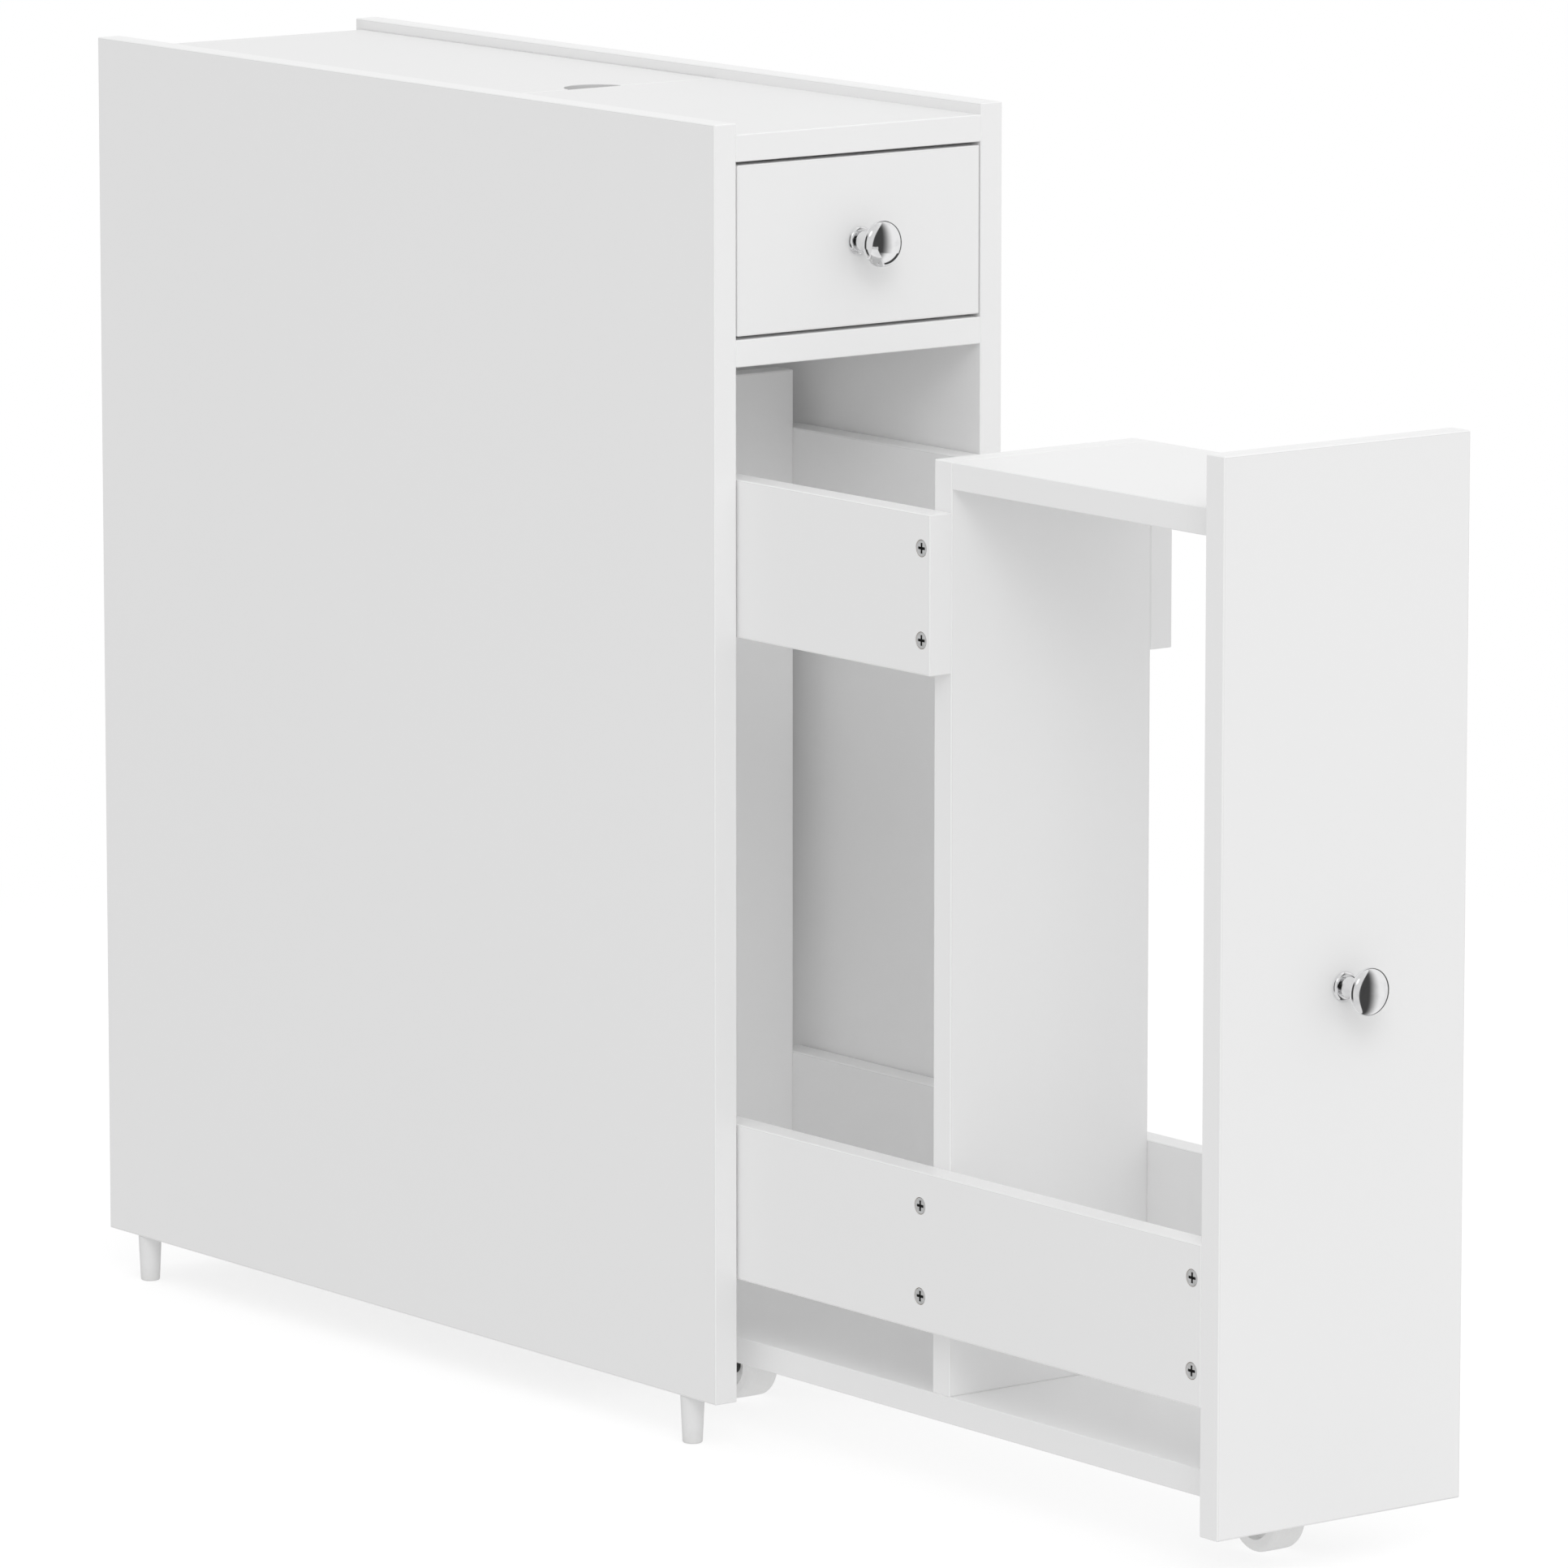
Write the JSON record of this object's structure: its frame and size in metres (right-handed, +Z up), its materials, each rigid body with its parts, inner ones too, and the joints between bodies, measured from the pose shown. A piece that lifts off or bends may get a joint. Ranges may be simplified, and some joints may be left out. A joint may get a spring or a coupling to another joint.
{
  "type": "narrow bathroom cabinet",
  "caption": "Narrow white bathroom cabinet with a small drawer, a flip-up rear top lid and a tall pull-out rack that rolls on casters, with chrome knobs.",
  "frame": {"origin": "on the floor, under the middle of the part's box with the rack drawn out", "axes": "+X to the right seen from the front, +Y to the back, +Z up; the front faces -Y"},
  "size_m": [0.16, 0.8336, 0.592],
  "materials": {
    "white_laminate": "satin white laminate on particle board",
    "white_hardboard": "white faced hardboard",
    "chrome_knob": "polished chrome",
    "white_nylon": "moulded white nylon",
    "white_foot_plastic": "moulded white plastic",
    "dark_bracket_steel": "black pressed steel",
    "zinc_steel": "zinc plated",
    "cast_zinc": "die cast zinc",
    "beech_dowel": "plain beech"
  },
  "bodies": {
    "case": {"left_side_panel": "white_laminate", "right_side_panel": "white_laminate", "fixed_top_panel": "white_laminate", "middle_shelf": "white_laminate", "compartment_partition": "white_laminate", "back_panel": "white_laminate", "front_left_foot": "white_foot_plastic", "front_right_foot": "white_foot_plastic", "rear_left_foot": "white_foot_plastic", "rear_right_foot": "white_foot_plastic", "case_cam_bolts": "zinc_steel", "case_cam_locks": "cast_zinc", "case_dowels": "beech_dowel"},
    "lid": {"top_lid": "white_laminate", "lid_pivot_pins": "zinc_steel"},
    "drawer": {"drawer_front": "white_laminate", "drawer_left_side": "white_laminate", "drawer_right_side": "white_laminate", "drawer_back": "white_laminate", "drawer_bottom": "white_hardboard", "drawer_knob": "chrome_knob", "drawer_knob_screw": "zinc_steel", "drawer_cam_bolts": "zinc_steel", "drawer_cam_locks": "cast_zinc", "drawer_dowels": "beech_dowel", "drawer_screws": "zinc_steel"},
    "rack": {"rack_front": "white_laminate", "rack_base": "white_laminate", "rack_divider": "white_laminate", "rack_rear_panel": "white_laminate", "rack_shelf": "white_laminate", "upper_left_rail": "white_laminate", "upper_right_rail": "white_laminate", "lower_left_rail": "white_laminate", "lower_right_rail": "white_laminate", "front_crosspiece": "white_laminate", "rail_screws": "zinc_steel", "rack_cam_bolts": "zinc_steel", "rack_cam_locks": "cast_zinc", "rack_dowels": "beech_dowel", "rack_base_screws": "zinc_steel", "rack_knob": "chrome_knob", "rack_knob_screw": "zinc_steel", "front_caster_bracket": "dark_bracket_steel", "rear_caster_bracket": "dark_bracket_steel", "front_caster_axle": "zinc_steel", "rear_caster_axle": "zinc_steel", "caster_screws": "zinc_steel"},
    "front_wheel": {"front_caster_wheel": "white_nylon"},
    "rear_wheel": {"rear_caster_wheel": "white_nylon"}
  },
  "joints": [
    {"name": "lid_hinge", "type": "hinge", "parent": "case", "child": "lid", "pos_m": [0, 0.41075, 0.581], "axis": [-1, 0, 0], "range_deg": [0, 100]},
    {"name": "drawer_slide", "type": "slide", "parent": "case", "child": "drawer", "axis": [0, -1, 0], "range_m": [0, 0.13]},
    {"name": "rack_slide", "type": "slide", "parent": "case", "child": "rack", "axis": [0, -1, 0], "range_m": [-0.333, 0.09]},
    {"name": "front_wheel_spin", "type": "hinge", "parent": "rack", "child": "front_wheel", "pos_m": [0, -0.34925, 0.016], "axis": [1, 0, 0], "continuous": true},
    {"name": "rear_wheel_spin", "type": "hinge", "parent": "rack", "child": "rear_wheel", "pos_m": [0, 0.02175, 0.016], "axis": [1, 0, 0], "continuous": true}
  ]
}
